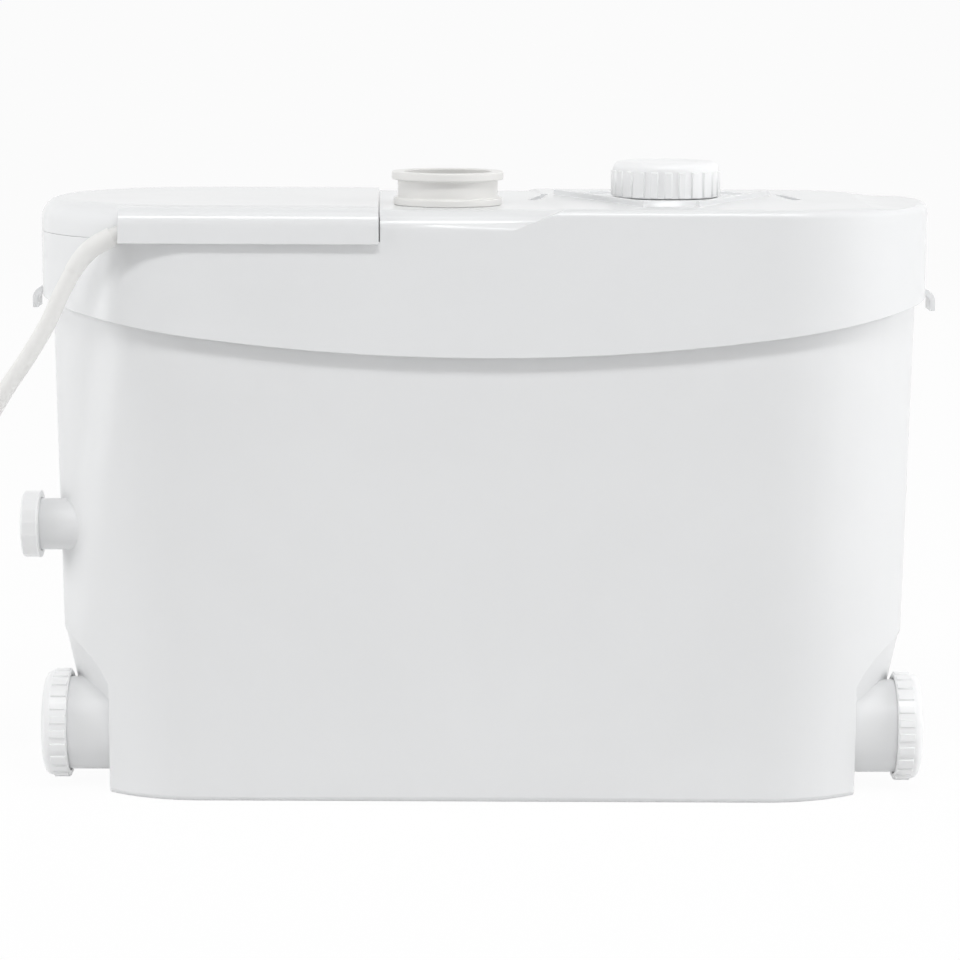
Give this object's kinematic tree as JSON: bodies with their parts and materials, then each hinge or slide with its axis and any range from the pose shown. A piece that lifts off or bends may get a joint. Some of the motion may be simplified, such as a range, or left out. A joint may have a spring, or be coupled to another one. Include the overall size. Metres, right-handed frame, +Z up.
{
  "type": "macerator toilet pump",
  "caption": "Long white tank with rounded ends and a deep lid that takes toilet and sink waste, shreds it and pumps it up through a spigot on the lid.",
  "frame": {"origin": "middle of the flat underside of the tank, on the floor", "axes": "+X along the unit to the end away from the cable, +Y out of the back towards the toilet, +Z up"},
  "size_m": [0.5376, 0.1984, 0.268],
  "materials": {
    "tank_white": "white moulded plastic, satin gloss",
    "lid_white": "white moulded plastic, satin gloss",
    "gasket_rubber": "black moulded rubber",
    "sleeve_rubber": "dark grey rubber sleeve",
    "inner_plastic": "grey moulded plastic",
    "stainless_steel": "stainless steel",
    "core_iron": "laminated iron",
    "copper_wire": "lacquered copper wire",
    "dark_plastic": "black plastic",
    "orange_plastic": "orange plastic",
    "capacitor_case": "drawn aluminium case",
    "terminal_plastic": "cream nylon",
    "brass_screw": "brass",
    "cable_pvc": "warm white flexible PVC"
  },
  "bodies": {
    "unit": {"tank": "tank_white", "lid": "lid_white", "dry_tub": "lid_white", "pull_tabs": "lid_white", "lid_gasket": "gasket_rubber", "discharge_spigot": "lid_white", "left_valve_seat": "inner_plastic", "left_valve_pin": "stainless_steel", "right_valve_seat": "inner_plastic", "right_valve_pin": "stainless_steel", "inlet_sleeve": "sleeve_rubber", "inner_hose_clip": "stainless_steel", "outer_hose_clip": "stainless_steel", "hose_clip_screws": "stainless_steel", "motor_plate": "inner_plastic", "motor_can": "stainless_steel", "stator_core": "core_iron", "stator_windings": "copper_wire", "upper_bearing": "stainless_steel", "lower_bearing": "stainless_steel", "seal_carrier": "core_iron", "shaft_seal": "gasket_rubber", "macerator_basket": "inner_plastic", "pump_volute": "inner_plastic", "pump_screws": "stainless_steel", "motor_screws": "stainless_steel", "riser_pipe": "inner_plastic", "check_valve_body": "inner_plastic", "check_valve_pin": "stainless_steel", "pressure_tube": "inner_plastic", "pressure_switch": "dark_plastic", "capacitor": "capacitor_case", "terminal_block": "terminal_plastic", "terminal_screws": "brass_screw", "cable_clamp": "inner_plastic", "clamp_screw": "stainless_steel", "cable_tail": "cable_pvc", "supply_cable": "cable_pvc", "cable_coil": "cable_pvc", "coil_tie": "dark_plastic", "plug_body": "cable_pvc", "plug_pins": "stainless_steel"},
    "cover": {"terminal_cover": "lid_white"},
    "rotor": {"motor_shaft": "stainless_steel", "rotor_core": "core_iron", "macerator_blade": "stainless_steel", "impeller": "dark_plastic", "impeller_nut": "stainless_steel"},
    "top_washer": {"top_cap_washer": "gasket_rubber"},
    "top_screw_cap": {"top_cap": "lid_white"},
    "left_washer": {"left_cap_washer": "gasket_rubber"},
    "left_screw_cap": {"left_cap": "lid_white"},
    "right_washer": {"right_cap_washer": "gasket_rubber"},
    "right_screw_cap": {"right_cap": "lid_white"},
    "drain_washer": {"drain_cap_washer": "gasket_rubber"},
    "drain_screw_cap": {"drain_cap": "lid_white"},
    "left_flap": {"left_valve_flap": "gasket_rubber"},
    "right_flap": {"right_valve_flap": "gasket_rubber"},
    "check_flap": {"check_valve_flap": "gasket_rubber"},
    "plunger": {"switch_plunger": "orange_plastic"}
  },
  "joints": [
    {"name": "top_cap_lift", "type": "slide", "parent": "unit", "child": "top_washer", "axis": [0, 0, 1], "range_m": [0, 0.01202]},
    {"name": "top_cap_turn", "type": "hinge", "parent": "top_washer", "child": "top_screw_cap", "pos_m": [0.0775, -0.0045, 0.253], "axis": [0, 0, 1], "range_deg": [0, 1080]},
    {"name": "left_cap_lift", "type": "slide", "parent": "unit", "child": "left_washer", "axis": [-1, 0, 0], "range_m": [0, 0.01202]},
    {"name": "left_cap_turn", "type": "hinge", "parent": "left_washer", "child": "left_screw_cap", "pos_m": [-0.1774, -0.02585, 0.026], "axis": [-1, 0, 0], "range_deg": [0, 1080]},
    {"name": "right_cap_lift", "type": "slide", "parent": "unit", "child": "right_washer", "axis": [1, 0, 0], "range_m": [0, 0.01202]},
    {"name": "right_cap_turn", "type": "hinge", "parent": "right_washer", "child": "right_screw_cap", "pos_m": [0.1774, -0.02585, 0.026], "axis": [1, 0, 0], "range_deg": [0, 1080]},
    {"name": "drain_cap_lift", "type": "slide", "parent": "unit", "child": "drain_washer", "axis": [-1, 0, 0], "range_m": [0, 0.00902]},
    {"name": "drain_cap_turn", "type": "hinge", "parent": "drain_washer", "child": "drain_screw_cap", "pos_m": [-0.189, -0.02585, 0.113], "axis": [-1, 0, 0], "range_deg": [0, 1080]},
    {"name": "cover_lift", "type": "slide", "parent": "unit", "child": "cover", "axis": [0, 0, 1], "range_m": [0, 0.06]},
    {"name": "rotor_spin", "type": "hinge", "parent": "unit", "child": "rotor", "pos_m": [-0.08, 0, 0.1], "axis": [0, 0, 1], "continuous": true},
    {"name": "left_flap_swing", "type": "hinge", "parent": "unit", "child": "left_flap", "pos_m": [-0.15125, -0.02585, 0.0465], "axis": [0, -1, 0], "range_deg": [0, 50]},
    {"name": "right_flap_swing", "type": "hinge", "parent": "unit", "child": "right_flap", "pos_m": [0.15125, -0.02585, 0.0465], "axis": [0, 1, 0], "range_deg": [0, 50]},
    {"name": "check_flap_swing", "type": "hinge", "parent": "unit", "child": "check_flap", "pos_m": [-0.0312, -0.03, 0.205], "axis": [0, -1, 0], "range_deg": [0, 60]},
    {"name": "plunger_press", "type": "slide", "parent": "unit", "child": "plunger", "axis": [0, 0, 1], "range_m": [0, 0.0015], "stiffness_N_per_m": 200}
  ],
  "couplings": [
    {"joint": "top_cap_lift", "follows": "top_cap_turn", "m_per_rad": 0.00063662},
    {"joint": "left_cap_lift", "follows": "left_cap_turn", "m_per_rad": 0.00063662},
    {"joint": "right_cap_lift", "follows": "right_cap_turn", "m_per_rad": 0.00063662},
    {"joint": "drain_cap_lift", "follows": "drain_cap_turn", "m_per_rad": 0.00047746}
  ]
}
